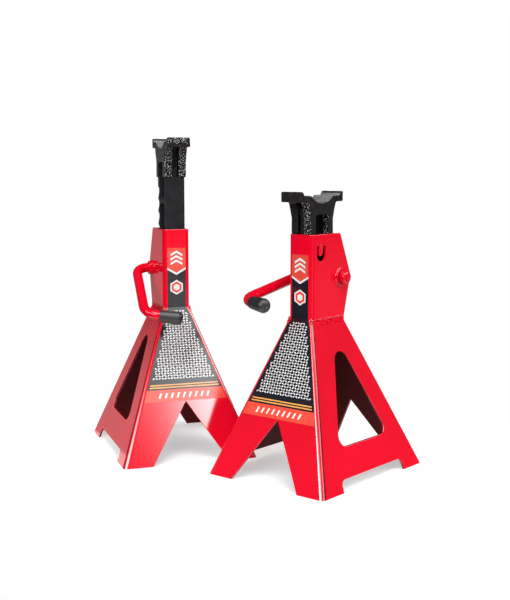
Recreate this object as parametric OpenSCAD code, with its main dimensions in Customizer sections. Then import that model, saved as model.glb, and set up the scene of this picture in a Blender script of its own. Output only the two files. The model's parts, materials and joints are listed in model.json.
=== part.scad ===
// A pair of ratcheting axle stands: pressed-steel frames, cast ratchet bars, pawls on cranked handles.
// Each stand is drawn in its own frame: origin on the floor under the base centre, x to its right,
// y to its rear, z up. The right stand faces -y of the part, and the left one is turned towards it.

/* [Pair] */
// Gap across the pair, from the left stand's nearest foot to the right stand's side
stand_gap = 1.4; // [0.5:0.1:60]
// Distance that the left stand stands ahead of the right one
pair_ahead = 35.4; // [20:0.1:60]
// Turn of the left stand, seen from above
left_yaw = 58.6; // [50:0.1:64]
// Notches that the left bar is raised by
left_notches_up = 4; // [0:1:12]
// Notches that the right bar is raised by
right_notches_up = 0; // [0:1:12]
// Droop of the left handle's arm below level
left_handle_droop = 28; // [13:1:28]
// Droop of the right handle's arm below level
right_handle_droop = 13; // [0:1:13]

/* [Base] */
// Width of the base on the floor
base_w = 200; // [180:1:215]
// Depth of the base on the floor
base_d = 241.4; // [220:0.2:250]
// Height of the base's top edge, where its front and sides meet the column
base_h = 218; // [210:1:240]
// Height at which the rear panel meets the column
rear_top = 209; // [204:1:216]
// Thickness of the pressed sheet
sheet = 3; // [2:0.1:3.4]
// Outside radius of the base's bends at the floor
foot_bend_r = 7; // [5.5:0.5:10]
// Outside radius of the base's bends at its top edge
top_bend_r = 4; // [4:0.1:5.5]
// Width of the notch between the feet at the front and rear
notch_w = 113; // [90:1:125]
// Height of that notch's apex
notch_h = 85.5; // [60:0.5:90]
// Height of the side window's lower edge
window_low = 53.5; // [40:0.5:60]
// Height of the side window's top
window_top = 172.5; // [150:0.5:178]
// Half width of the side window where its lower corners start
window_half = 59; // [40:1:62]
// Radius of the side window's lower corners
window_r = 12; // [6:0.5:16]
// Radius of the side window's top
window_top_r = 16; // [8:0.5:18]
// Length of the recess between the side feet
recess_w = 146; // [120:1:160]
// Height of that recess
recess_h = 15.5; // [8:0.5:20]
// Radius of the recess corners
recess_r = 9; // [3:0.5:12]
// Distance of the rear panel's seams from the corner
rear_seam = 11; // [10:0.5:13]

/* [Column] */
// Width of the column
column_w = 40; // [39:0.5:46]
// Distance of the column's front face ahead of the base centre
column_front = 41; // [41:0.5:46]
// Outside radius of the column's bends
bend_r = 6; // [4.5:0.5:7]
// Depth that the column reaches down into the base
column_sink = 18; // [12:0.5:22]
// Distance of the column's rear behind the base centre, at the base's top edge
column_rear = 35; // [34:0.5:40]
// Distance of the column's rear behind the base centre, at the top
top_rear = 24.5; // [23:0.5:30]
// Height of the column above the base
column_h = 116; // [114:1:126]
// Distance of the rear peak behind the base centre
peak_rear = 50; // [47:0.5:56]
// Height of the rear peak above the base
peak_rise = 56.5; // [52:0.5:62]
// Thickness of the guide bars behind the ratchet bar
guide_t = 6; // [4:0.5:8]
// Height of the guide bars
guide_h = 17; // [10:0.5:18]
// Width of the slot round the stop tongue
slot_w = 20; // [18:0.5:21]
// Height of that slot
slot_h = 21; // [16:0.5:22]
// Distance of the slot's top below the column's top
slot_drop = 16; // [12:0.5:17]
// Distance of the slot's middle from the column's front
slot_back = 21.5; // [20:0.5:24]
// Width of the stop tongue
tongue_w = 9.4; // [8:0.1:10.5]
// Length of the stop tongue
tongue_l = 14; // [10:0.5:15]
// Inward bend of the stop tongue
tongue_bend = 7; // [5:1:12]

/* [Ratchet bar] */
// Width of the toothed bar
bar_w = 28.4; // [26:0.2:29]
// Depth of the toothed bar from its front to the tooth crests
bar_d = 48.5; // [47:0.5:49]
// Gap between the lowered bar's foot and the floor
bar_floor_gap = 14; // [6:1:24]
// Spacing of the notches
pitch = 19; // [18:0.1:19.2]
// Number of steps that the bar can be raised by
steps = 12; // [8:1:12]
// Depth of the teeth
tooth_depth = 6.4; // [5:0.1:6.6]
// Distance of the first ledge below the head's shoulder
first_ledge = 13.7; // [12:0.1:15]
// Slope of the ledges
ledge_slope = 28; // [25:0.5:30]
// Height of the flat at a notch's root
root_flat = 5; // [4.5:0.1:6]
// Height of the flat at a tooth's crest
crest_flat = 2; // [1:0.1:3]
// Depth of the lightening pockets in the bar's sides
pocket_depth = 5; // [3.5:0.1:6]
// Front margin of the pockets
pocket_front = 10.5; // [9:0.5:12]
// Width of the pockets
pocket_w = 26; // [22:0.5:27]
// Radius of the pockets' corners
pocket_r = 4; // [2:0.5:6]
// Length of each pocket on the left side
pocket_l = 54; // [40:1:60]
// Height of the ribs between the left pockets
pocket_rib = 7.5; // [5:0.5:10]
// Height that the pockets reach above the shoulder
pocket_rise = 26; // [15:0.5:30]

/* [Saddle] */
// Width of the head under the saddle
head_w = 33; // [31:0.2:33.8]
// Depth that the head stands proud of the bar at its front
head_front = 3; // [2:0.1:3.2]
// Depth that the head stands proud of the teeth at its rear
head_rear = 1.5; // [1:0.1:3]
// Height of the head from its shoulder to the saddle
head_h = 43.5; // [38:0.5:50]
// Depth that the head flares out under the saddle, front and rear
head_flare = 5.5; // [3:0.5:8]
// Width of the channel in the head's front
channel_w = 8.5; // [7:0.5:14]
// Depth of that channel
channel_d = 5; // [3:0.5:6]
// Width of the saddle, left to right
saddle_w = 34; // [33.5:0.5:40]
// Length of the saddle, front to rear
saddle_l = 97; // [90:0.5:104]
// Thickness of the saddle at its ends
saddle_t = 14.4; // [12:0.1:16]
// Length of the horns along their tops
horn_l = 5; // [4:0.5:8]
// Run of the horns' inner slopes
horn_run = 4; // [2:0.5:6]
// Height of the horns above the saddle's flats
horn_h = 5.5; // [4:0.1:7]
// Width of the dish between the flats
dish_w = 50; // [40:1:60]
// Depth of the dish below the flats
dish_d = 10; // [6:0.1:11]

/* [Handle and pawl] */
// Diameter of the handle rod and its shaft
rod_d = 14; // [12:0.1:15]
// Height of the shaft above the base
shaft_rise = 54.5; // [52:0.5:57]
// Distance of the shaft behind the base centre
shaft_back = 26; // [25.5:0.1:27]
// Droop of the arm with the pawl engaged
engaged_droop = 28; // [28:1:32]
// Distance of the arm's upper corner from the stand's middle
arm_near = 46; // [45:0.5:50]
// Distance of the arm's lower corner from the stand's middle
arm_far = 57.5; // [50:0.5:62]
// Distance of the arm's lower corner from the shaft
arm_l = 122; // [110:1:130]
// Splay of the grip from straight across
grip_splay = 16; // [8:0.5:24]
// Radius of the bend beside the column
near_bend_r = 20; // [14:0.5:20.5]
// Radius of the bend beside the grip
far_bend_r = 24; // [18:0.5:28]
// Swelling of the rod's radius in its bends
bend_swell = 0.1; // [0.08:0.01:0.2]
// Diameter of the grip at its mouth
grip_d = 17; // [16.5:0.1:18]
// Diameter of the grip at its closed end
grip_end_d = 20; // [18:0.1:22]
// Length of the grip
grip_l = 34; // [28:0.5:38]
// Thickness of the grip over the rod's end
grip_wall = 2.5; // [2:0.1:4]
// Outside diameter of the bush beside the handle
bush_d = 20.5; // [19:0.1:24]
// Length of the bush
bush_l = 7; // [5:0.5:7.5]
// Outside diameter of the washer on the far side
washer_d = 23.7; // [21:0.1:25]
// Thickness of the washer
washer_t = 3; // [2:0.1:4]
// Outside diameter of the cap on the shaft's end
cap_d = 18.2; // [16.5:0.1:19]
// Length of the cap
cap_l = 10; // [6:0.1:11]
// Thickness of the cap over the shaft's end
cap_wall = 2.5; // [2:0.1:4]
// Diameter of the pawl's hub
pawl_hub_d = 26; // [24:0.5:27]
// Width of the pawl
pawl_w = 26; // [20:0.5:28]
// Length of the pawl's bearing face
pawl_face = 8; // [7:0.1:9]
// Height of the pawl's blunt nose
pawl_nose = 3; // [2:0.1:3.2]
// Diameter of the pin through the pawl and the shaft
pin_d = 5; // [4:0.1:6]

/* [Label] */
// Height of the label's top above the base
label_rise = 88.5; // [70:0.5:94]
// Margin between the label and the column's corners
label_margin = 6; // [6:0.5:9]
// Height over which the label widens to the base's bends
label_flare = 10; // [6:0.5:20]
// Thickness of the label
label_t = 0.2; // [0.15:0.01:0.3]

/* [Fits] */
// Radial clearance of the shaft in its holes
shaft_fit = 0.05; // [0.02:0.01:0.1]
// Radial clearance of pieces fixed on the shaft
seat_fit = 0.02; // [0.01:0.01:0.05]
// Gap between the bar and what guides it
bar_gap = 0.5; // [0.3:0.1:0.8]
// Gap between the lowered head and the column
head_gap = 0.2; // [0.1:0.1:0.5]
// Gap between turning and fixed faces
end_gap = 0.3; // [0.2:0.1:0.6]
// Gap between the engaged pawl and the bar
pawl_gap = 0.8; // [0.6:0.1:1]
// Play between the engaged pawl and the ledge above it
ledge_play = 1.2; // [1.1:0.1:1.8]

/* [Hidden] */
$fn = 64;
reach = 400;
STANDS = ["right", "left"];
PIECES = [
    "column_shell", "column_rear_plate", "base_shell", "base_rear_panel", "seam_welds",
    "upper_guide", "lower_guide", "shaft_bush", "shaft_washer", "front_label", "ratchet_bar",
    "handle_rod", "handle_grip", "shaft_cap", "pawl", "pawl_pin"
];

red = [0.82, 0.03, 0.06];
black = [0.08, 0.08, 0.09];
steel = [0.62, 0.63, 0.65];
label_grey = [0.26, 0.27, 0.29];

// Heights and the column's section
column_foot = base_h - column_sink;
column_top = base_h + column_h;
half_w = column_w / 2;
inner_w = column_w - 2 * sheet;
inner_front = column_front - sheet;
peak_z = base_h + peak_rise;
peak_r = 5;
inner_peak_r = 3;
top_corner_r = 3.5;
// Corner radius of round ends, as a share of the width
round_end = 0.45;

// Slope of the base panels, as outward run per unit of height
side_run = (base_w / 2 - half_w) / base_h;
front_run = (base_d / 2 - column_front) / base_h;
panel_inset = sheet * norm([1, side_run]);
front_tilt = atan(front_run);
side_tilt = atan(side_run);

// The window's sides run from its lower corners to its round top
window_rise = window_top - window_top_r - window_low;
window_lean = atan2(window_half, window_rise) - asin(window_top_r / norm([window_half, window_rise]));
window_peak = window_top - window_top_r + window_top_r / sin(window_lean);

// The bar, measured from the head's shoulder
shoulder_z = column_top + head_gap;
bar_front = bar_gap - inner_front;
crest_y = bar_front + bar_d;
root_y = crest_y - tooth_depth;
ledge_drop = tooth_depth * tan(ledge_slope);
bar_l = shoulder_z - bar_floor_gap;
saddle_mid = bar_front + (bar_d + head_rear - head_front) / 2;

// With the bar lowered, the pawl meets this ledge, counted from the first
pawl_notch = 1;
pawl_ledge_z = shoulder_z - first_ledge - pawl_notch * pitch;
shaft_z = base_h + shaft_rise;
rod_r = rod_d / 2;

// The pair stands centred over the part's origin
foot_x = base_w / 2 - foot_bend_r;
foot_y = base_d / 2 - foot_bend_r;
left_reach_x = foot_x * cos(left_yaw) + foot_y * sin(left_yaw) + foot_bend_r;
left_reach_y = foot_x * sin(left_yaw) + foot_y * cos(left_yaw) + foot_bend_r;
pair_across = base_w / 2 + left_reach_x + stand_gap;
pair_mid_x = (base_w / 2 - pair_across - left_reach_x) / 2;
pair_mid_y = (base_d / 2 - pair_ahead - left_reach_y) / 2;

function unit(v) = v / norm(v);

// Points of the arc that rounds the corner b between its neighbours a and c
function arc_points(a, b, c, r, n) =
    let (
        u = unit(a - b),
        w = unit(c - b),
        half = acos(u * w) / 2,
        mid = b + unit(u + w) * r / sin(half),
        first = b + u * r / tan(half) - mid,
        last = b + w * r / tan(half) - mid,
        from = atan2(first.y, first.x),
        sweep = (atan2(last.y, last.x) - from + 540) % 360 - 180
    )
    [for (i = [0:n]) mid + r * [cos(from + sweep * i / n), sin(from + sweep * i / n)]];

// Outline through corners given as [x, y, radius], with n facets to each round
function rounded(corners, n = 8) =
    let (
        count = len(corners),
        at = [for (c = corners) [c[0], c[1]]]
    )
    [
        for (i = [0:count - 1])
            each corners[i][2] == 0
                ? [at[i]]
                : arc_points(at[(i + count - 1) % count], at[i], at[(i + 1) % count], corners[i][2], n)
    ];

// Corners of a rounded box from its limits
function box_corners(x0, x1, y0, y1, r) = [[x0, y0, r], [x1, y0, r], [x1, y1, r], [x0, y1, r]];

// Extrudes an outline drawn in y and z across x, evenly to both sides
module across(width) {
    rotate([90, 0, 90])
        linear_extrude(width, center = true)
            children();
}

// A tube or rod along x from one place to another
module x_rod(from, to, r) {
    translate([from, 0, 0])
        rotate([0, 90, 0])
            cylinder(h = to - from, r = r);
}

// Solid between two outlines with as many points each, at two heights
module loft(low, low_z, high, high_z) {
    n = len(low);
    points = concat([for (p = low) [p.x, p.y, low_z]], [for (p = high) [p.x, p.y, high_z]]);
    sides = [for (i = [0:n - 1]) [i, n + i, n + (i + 1) % n, (i + 1) % n]];
    floor_face = [for (i = [0:n - 1]) i];
    roof_face = [for (i = [0:n - 1]) 2 * n - 1 - i];
    polyhedron(points, concat([floor_face], sides, [roof_face]));
}

// Outside radius of the base's bends at a height
function base_bend_r(z) = foot_bend_r + (top_bend_r - foot_bend_r) * z / base_h;

// Half width of the base at a height
function base_half(z) = base_w / 2 - side_run * z;

// Outline of the base at a height, drawn in by an inset
function base_outline(z, inset) =
    let (
        x = base_half(z) - inset,
        y0 = front_run * z - base_d / 2 + inset,
        y1 = base_d / 2 + (column_rear - base_d / 2) * z / rear_top - inset
    )
    rounded(box_corners(-x, x, y0, y1, base_bend_r(z) - inset));

// Space of the column where it stands in the base
module column_space() {
    translate([0, 0, column_foot])
        linear_extrude(column_sink + column_h)
            polygon(rounded([
                [-half_w, -column_front, bend_r], [half_w, -column_front, bend_r],
                [half_w, column_rear, 0], [-half_w, column_rear, 0]
            ]));
}

// The hollow flared base with all its cut-outs, before the rear panel is parted off
module base_pressing() {
    over = 1;
    difference() {
        loft(base_outline(0, 0), 0, base_outline(base_h, 0), base_h);
        loft(
            base_outline(-over, panel_inset), -over,
            base_outline(base_h + over, panel_inset), base_h + over
        );
        column_space();
        notch_cut();
        across(reach)
            polygon(rounded([
                [-window_half, window_low, window_r],
                [window_half, window_low, window_r],
                [0, window_peak, window_top_r]
            ]));
        across(reach)
            polygon(rounded([
                [-recess_w / 2, -over, 0],
                [-recess_w / 2, recess_h, recess_r],
                [recess_w / 2, recess_h, recess_r],
                [recess_w / 2, -over, 0]
            ]));
    }
}

// The pointed gap between the feet, right through from front to rear
module notch_cut() {
    below = 1;
    spread = notch_w / 2 * (1 + below / notch_h);
    rotate([90, 0, 0])
        linear_extrude(reach, center = true)
            polygon([[-spread, -below], [spread, -below], [0, notch_h]]);
}

// Space of the flat rear panel between its two seams
module rear_panel_space() {
    below = 1;
    translate([0, reach / 2, 0])
        rotate([90, 0, 0])
            linear_extrude(reach / 2 - bend_r)
                polygon([
                    [rear_seam - base_w / 2 - side_run * below, -below],
                    [base_w / 2 - rear_seam + side_run * below, -below],
                    [half_w - rear_seam, base_h],
                    [rear_seam - half_w, base_h]
                ]);
}

// Front and side panels, pressed from one sheet
module base_shell() {
    color(red)
        difference() {
            base_pressing();
            rear_panel_space();
        }
}

// Rear panel, welded between the side panels' bends
module base_rear_panel() {
    color(red)
        intersection() {
            base_pressing();
            rear_panel_space();
        }
}

// Side outline of the column, with its peak to the rear
function column_outline() = rounded([
    [-column_front - 1, column_foot, 0],
    [-column_front - 1, column_top, 0],
    [top_rear, column_top, top_corner_r],
    [peak_rear, peak_z, peak_r],
    [column_rear, base_h, 0],
    [column_rear, column_foot, 0]
]);

// Front and side walls of the column, bent from one sheet, with the stop tongue and the shaft's holes
module column_shell() {
    slot_y = slot_back - column_front;
    slot_z = column_top - slot_drop;
    color(red) {
        difference() {
            intersection() {
                translate([0, 0, column_foot])
                    linear_extrude(column_sink + column_h)
                        difference() {
                            polygon(rounded([
                                [-half_w, -column_front, bend_r], [half_w, -column_front, bend_r],
                                [half_w, peak_rear, 0], [-half_w, peak_rear, 0]
                            ]));
                            polygon(rounded([
                                [-inner_w / 2, -inner_front, bend_r - sheet],
                                [inner_w / 2, -inner_front, bend_r - sheet],
                                [inner_w / 2, peak_rear + 1, 0],
                                [-inner_w / 2, peak_rear + 1, 0]
                            ]));
                        }
                across(column_w + 2)
                    polygon(column_outline());
            }
            translate([0, shaft_back, shaft_z])
                x_rod(-column_w, column_w, rod_r + shaft_fit);
            translate([half_w, slot_y, slot_z])
                across(2 * sheet + 1)
                    polygon(rounded([
                        [-slot_w / 2, 0, 0], [-slot_w / 2, -slot_h, slot_w * round_end],
                        [slot_w / 2, -slot_h, slot_w * round_end], [slot_w / 2, 0, 0]
                    ]));
        }
        translate([half_w, slot_y, slot_z])
            rotate([0, tongue_bend, 0])
                translate([-sheet / 2, 0, 0])
                    across(sheet)
                        polygon(rounded([
                            [-tongue_w / 2, sheet / 2, 0], [-tongue_w / 2, -tongue_l, tongue_w * round_end],
                            [tongue_w / 2, -tongue_l, tongue_w * round_end], [tongue_w / 2, sheet / 2, 0]
                        ]));
    }
}

// Bent plate that closes the column's rear between the side walls
module column_rear_plate() {
    back_t = sheet * norm([1, (peak_rear - column_rear) / peak_rise]);
    top_z = column_top - top_corner_r;
    top_y = top_rear + (peak_rear - top_rear) * top_corner_r / (column_top - peak_z);
    color(red)
        across(inner_w)
            polygon(rounded([
                [column_rear, column_foot, 0],
                [column_rear, base_h, 0],
                [peak_rear, peak_z, peak_r],
                [top_y, top_z, 0],
                [top_y - back_t, top_z, 0],
                [peak_rear - back_t, peak_z, inner_peak_r],
                [column_rear - back_t, base_h, 0],
                [column_rear - back_t, column_foot, 0]
            ]));
}

// A weld bead that fills the corner between the column's side and the sloped panel, running along y
module side_bead(length) {
    bead_r = 1.5;
    facets = 10;
    sweep = 180 - side_tilt;
    rotate([90, 0, 0])
        linear_extrude(length, center = true)
            polygon([
                [0, 0],
                for (i = [0:facets])
                    bead_r * [sin(sweep * i / facets), cos(sweep * i / facets)]
            ]);
}

// Beads along the base's top edge, at both sides
module seam_welds() {
    front_y = bend_r - column_front;
    rear_y = base_d / 2 + (column_rear - base_d / 2) * base_h / rear_top - top_bend_r;
    color(red)
        for (side = [0, 1])
            mirror([side, 0, 0])
                translate([half_w, (front_y + rear_y) / 2, base_h])
                    side_bead(rear_y - front_y);
}

// A flat bar across the column behind the teeth
module guide(low_z) {
    translate([-inner_w / 2, crest_y + bar_gap, low_z])
        cube([inner_w, guide_t, guide_h]);
}

module upper_guide() {
    color(red)
        guide(column_top - guide_h);
}

module lower_guide() {
    color(red)
        guide(column_foot);
}

// Half width of the label at a height on the base, where it ends at the bends
function label_half(z) = base_half(z) - base_bend_r(z);

// Thin label down the front: a straight stretch on the column and a flared one on the base
module front_label() {
    label_w = column_w - 2 * label_margin;
    low_z = notch_h + 1;
    flare_z = base_h - label_flare;
    // Distances down the slope
    flare_l = label_flare / cos(front_tilt);
    slope_l = (base_h - low_z) / cos(front_tilt);
    color(label_grey)
        translate([0, -column_front - seat_fit, base_h]) {
            rotate([90, 0, 0])
                linear_extrude(label_t)
                    polygon([
                        [-label_w / 2, 0], [label_w / 2, 0],
                        [label_w / 2, label_rise], [-label_w / 2, label_rise]
                    ]);
            rotate([90 - front_tilt, 0, 0])
                linear_extrude(label_t)
                    polygon([
                        [-label_w / 2, 0], [label_w / 2, 0],
                        [label_half(flare_z), -flare_l], [label_half(low_z), -slope_l],
                        [-label_half(low_z), -slope_l], [-label_half(flare_z), -flare_l]
                    ]);
        }
}

// Rear edge of the bar from the shoulder down: every notch has a ledge, a root and a ramp
function tooth_points() = [
    for (i = [0:steps + pawl_notch])
        let (ledge = -first_ledge - i * pitch)
        each [
            [crest_y, ledge],
            [root_y, ledge - ledge_drop],
            [root_y, ledge - ledge_drop - root_flat],
            [crest_y, ledge - pitch + crest_flat]
        ]
];

// Side outline of the head and saddle, from the shoulder up
function head_outline() =
    let (
        front = bar_front - head_front,
        rear = crest_y + head_rear,
        top = head_h + saddle_t,
        nose = saddle_mid - saddle_l / 2,
        tail = saddle_mid + saddle_l / 2,
        flat = top - horn_h,
        flat_end = saddle_l / 2 - horn_l - horn_run,
        dish_half = dish_w / 2,
        dish_r = (dish_half * dish_half + dish_d * dish_d) / (2 * dish_d),
        dish_angle = asin(dish_half / dish_r),
        dish_step = 4,
        round_r = 1.5,
        fillet_r = 4
    )
    concat(
        rounded([
            [rear, 0, 0],
            [rear, head_h / 2, 0],
            [rear + head_flare, head_h, fillet_r],
            [tail, head_h, round_r],
            [tail, top, round_r],
            [tail - horn_l, top, round_r],
            [saddle_mid + flat_end, flat, 0],
            [saddle_mid + dish_half, flat, 0]
        ]),
        [
            for (a = [dish_angle - dish_step : -dish_step : dish_step - dish_angle])
                [saddle_mid + dish_r * sin(a), flat - dish_d + dish_r * (1 - cos(a))]
        ],
        rounded([
            [saddle_mid - dish_half, flat, 0],
            [saddle_mid - flat_end, flat, 0],
            [nose + horn_l, top, round_r],
            [nose, top, round_r],
            [nose, head_h, round_r],
            [front - head_flare, head_h, fillet_r],
            [front, head_h / 2, 0],
            [front, 0, 0]
        ])
    );

// A pocket sunk into one side of the bar: side is 1 for the right, -1 for the left
module bar_pocket(side, low, high) {
    floor_x = bar_w / 2 - pocket_depth;
    translate([side * (floor_x + saddle_w / 2), bar_front + pocket_front, 0])
        across(saddle_w)
            polygon(rounded(box_corners(0, pocket_w, low, high, pocket_r)));
}

// The cast bar with its teeth, head and saddle, raised by a number of notches
module ratchet_bar(notches_up) {
    // The long groove on the right stops the bar on the tongue at its full height
    stop_play = 2;
    tongue_z = column_top - slot_drop - tongue_l;
    groove_low = tongue_z - steps * pitch - stop_play - shoulder_z;
    pocket_step = pocket_l + pocket_rib;
    first_low = pocket_rise - pocket_l - pocket_rib / 2;
    color(black)
        translate([0, 0, shoulder_z + notches_up * pitch])
            difference() {
                union() {
                    across(bar_w)
                        polygon(concat(
                            [[bar_front, 1], [crest_y, 1]],
                            tooth_points(),
                            [[crest_y, -bar_l], [bar_front, -bar_l]]
                        ));
                    intersection() {
                        across(saddle_w)
                            polygon(head_outline());
                        rotate([90, 0, 0])
                            linear_extrude(reach, center = true)
                                polygon([
                                    [-head_w / 2, 0], [head_w / 2, 0],
                                    [head_w / 2, head_h / 2], [saddle_w / 2, head_h],
                                    [saddle_w / 2, reach], [-saddle_w / 2, reach],
                                    [-saddle_w / 2, head_h], [-head_w / 2, head_h / 2]
                                ]);
                    }
                }
                bar_pocket(1, groove_low, pocket_rise);
                for (low = [first_low : -pocket_step : pocket_rib - bar_l])
                    bar_pocket(-1, low, low + pocket_l);
                translate([-channel_w / 2, bar_front - head_front - head_flare - 1, -1])
                    cube([channel_w, head_flare + 1 + channel_d, head_h + 1]);
            }
}

// Places children at the shaft, turned with the handle from its engaged droop
module at_shaft(droop) {
    translate([0, shaft_back, shaft_z])
        rotate([droop - engaged_droop, 0, 0])
            children();
}

// The handle's centre line in its own plane: along the shaft, down the arm and along the grip
rod_from = [half_w + washer_t + end_gap + cap_l - cap_wall, 0];
near_corner = [-arm_near, 0];
far_corner = [-arm_far, arm_l];
grip_way = [cos(grip_splay), sin(grip_splay)];
far_reach = bend_reach(near_corner, far_corner, far_corner + grip_way, far_bend_r);
grip_lead = 1;
rod_to = far_corner + grip_way * (far_reach + grip_lead + grip_l - grip_wall);

// Lays the handle's plane along the arm's engaged direction
module in_handle_plane() {
    rotate([180 + engaged_droop, 0, 0])
        children();
}

// A straight round bar in the plane from one point to another
module straight(from, to, r) {
    way = to - from;
    translate([from.x, from.y, 0])
        rotate([0, 0, atan2(way.y, way.x)])
            x_rod(0, norm(way), r);
}

// Length of a bend's tangents
function bend_reach(a, b, c, bend) = bend / tan(acos(unit(a - b) * unit(c - b)) / 2);

// A bent stretch of round bar at the corner b, between a and c
module bend(a, b, c, bend_radius, r) {
    u = unit(a - b);
    w = unit(c - b);
    opening = acos(u * w);
    mid = b + unit(u + w) * bend_radius / sin(opening / 2);
    mid_way = -unit(u + w);
    sweep = 180 - opening;
    translate([mid.x, mid.y, 0])
        rotate([0, 0, atan2(mid_way.y, mid_way.x) - sweep / 2])
            rotate_extrude(angle = sweep)
                translate([bend_radius, 0])
                    circle(r);
}

// The rod: shaft, arm and grip core in one, cross-drilled for the pin
module handle_rod(droop) {
    near_reach = bend_reach(rod_from, near_corner, far_corner, near_bend_r);
    arm_way = unit(far_corner - near_corner);
    // Each straight runs a little way into the fuller bend
    into = 1;
    color(red)
        at_shaft(droop)
            difference() {
                in_handle_plane() {
                    straight(rod_from, near_corner + [near_reach - into, 0], rod_r);
                    bend(rod_from, near_corner, far_corner, near_bend_r, rod_r + bend_swell);
                    straight(
                        near_corner + arm_way * (near_reach - into),
                        far_corner - arm_way * (far_reach - into), rod_r
                    );
                    bend(near_corner, far_corner, rod_to, far_bend_r, rod_r + bend_swell);
                    straight(far_corner + grip_way * (far_reach - into), rod_to, rod_r);
                }
                pin_shape(pin_d / 2 + seat_fit, pawl_hub_d);
            }
}

// Moulded grip: a tapered sleeve with a domed closed end
module handle_grip(droop) {
    edge_r = 3;
    mouth_r = 0.8;
    color(black)
        at_shaft(droop)
            in_handle_plane()
                translate([rod_to.x, rod_to.y, 0])
                    rotate([0, 0, atan2(grip_way.y, grip_way.x)])
                        rotate([0, 90, 0])
                            difference() {
                                rotate_extrude()
                                    polygon(rounded([
                                        [0, grip_wall - grip_l, 0],
                                        [grip_d / 2, grip_wall - grip_l, mouth_r],
                                        [grip_end_d / 2, grip_wall - edge_r, edge_r],
                                        [0, grip_wall, 0]
                                    ]));
                                translate([0, 0, -grip_l])
                                    cylinder(h = grip_l, r = rod_r + seat_fit);
                            }
}

// Bush beside the handle, welded to the column's left wall
module shaft_bush() {
    color(red)
        translate([0, shaft_back, shaft_z])
            difference() {
                x_rod(-half_w - bush_l, -half_w, bush_d / 2);
                x_rod(-half_w - bush_l - 1, 1 - half_w, rod_r + shaft_fit);
            }
}

// Washer on the column's right wall
module shaft_washer() {
    color(red)
        translate([0, shaft_back, shaft_z])
            difference() {
                x_rod(half_w, half_w + washer_t, washer_d / 2);
                x_rod(half_w - 1, half_w + washer_t + 1, rod_r + shaft_fit);
            }
}

// Rounded cap on the shaft's far end
module shaft_cap(droop) {
    edge_r = 1.5;
    color(red)
        at_shaft(droop)
            translate([half_w + washer_t + end_gap, 0, 0])
                rotate([0, 90, 0])
                    difference() {
                        rotate_extrude()
                            polygon(rounded([
                                [0, 0, 0], [cap_d / 2, 0, 0], [cap_d / 2, cap_l, edge_r], [0, cap_l, 0]
                            ]));
                        translate([0, 0, -1])
                            cylinder(h = cap_l - cap_wall + 1, r = rod_r + seat_fit);
                    }
}

// The pin's round, square to the shaft and level with the arm
module pin_shape(r, length) {
    rotate([engaged_droop, 0, 0])
        rotate([90, 0, 0])
            cylinder(h = length, r = r, center = true);
}

// The pawl: a hub on the shaft and a nose that reaches up under a ledge
module pawl(droop) {
    nose_y = root_y + pawl_gap - shaft_back;
    nose_z = pawl_ledge_z - ledge_drop + pawl_gap * tan(ledge_slope) - ledge_play - shaft_z;
    ramp_run = tooth_depth / (pitch - ledge_drop - root_flat - crest_flat);
    hub_r = pawl_hub_d / 2;
    under_y = -hub_r;
    under_z = nose_z - pawl_nose - (under_y - nose_y) / ramp_run;
    // Place on the hub's round where the pawl's top runs out
    crown_angle = 53;
    color(black)
        at_shaft(droop)
            difference() {
                union() {
                    x_rod(-pawl_w / 2, pawl_w / 2, hub_r);
                    across(pawl_w)
                        polygon([
                            [nose_y, nose_z - pawl_nose],
                            [nose_y, nose_z],
                            [nose_y + pawl_face, nose_z + pawl_face * tan(ledge_slope)],
                            hub_r * [cos(crown_angle), sin(crown_angle)],
                            [0, 0],
                            [under_y, 0],
                            [under_y, under_z]
                        ]);
                }
                x_rod(-pawl_w, pawl_w, rod_r + seat_fit);
                pin_shape(pin_d / 2 + seat_fit, 2 * pawl_hub_d);
            }
}

// Pin that fixes the pawl to the shaft
module pawl_pin(droop) {
    sink = 0.5;
    color(steel)
        at_shaft(droop)
            pin_shape(pin_d / 2, pawl_hub_d - 2 * sink);
}

// Stands a piece where its stand is
module on_stand(stand) {
    is_left = stand == "left";
    translate([-pair_mid_x - (is_left ? pair_across : 0), -pair_mid_y - (is_left ? pair_ahead : 0), 0])
        rotate([0, 0, is_left ? left_yaw : 0])
            children();
}

function notches_up(stand) = stand == "left" ? left_notches_up : right_notches_up;
function droop(stand) = stand == "left" ? left_handle_droop : right_handle_droop;

for (s = STANDS) {
    on_stand(s) column_shell();
    on_stand(s) column_rear_plate();
    on_stand(s) base_shell();
    on_stand(s) base_rear_panel();
    on_stand(s) seam_welds();
    on_stand(s) upper_guide();
    on_stand(s) lower_guide();
    on_stand(s) shaft_bush();
    on_stand(s) shaft_washer();
    on_stand(s) front_label();
    on_stand(s) ratchet_bar(notches_up(s));
    on_stand(s) handle_rod(droop(s));
    on_stand(s) handle_grip(droop(s));
    on_stand(s) shaft_cap(droop(s));
    on_stand(s) pawl(droop(s));
    on_stand(s) pawl_pin(droop(s));
}
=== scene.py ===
"""A pair of ratcheting axle stands: paint, castings, welds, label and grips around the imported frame."""
import json
import math

import bmesh
import bpy
from mathutils import Matrix, Vector, noise


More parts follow.
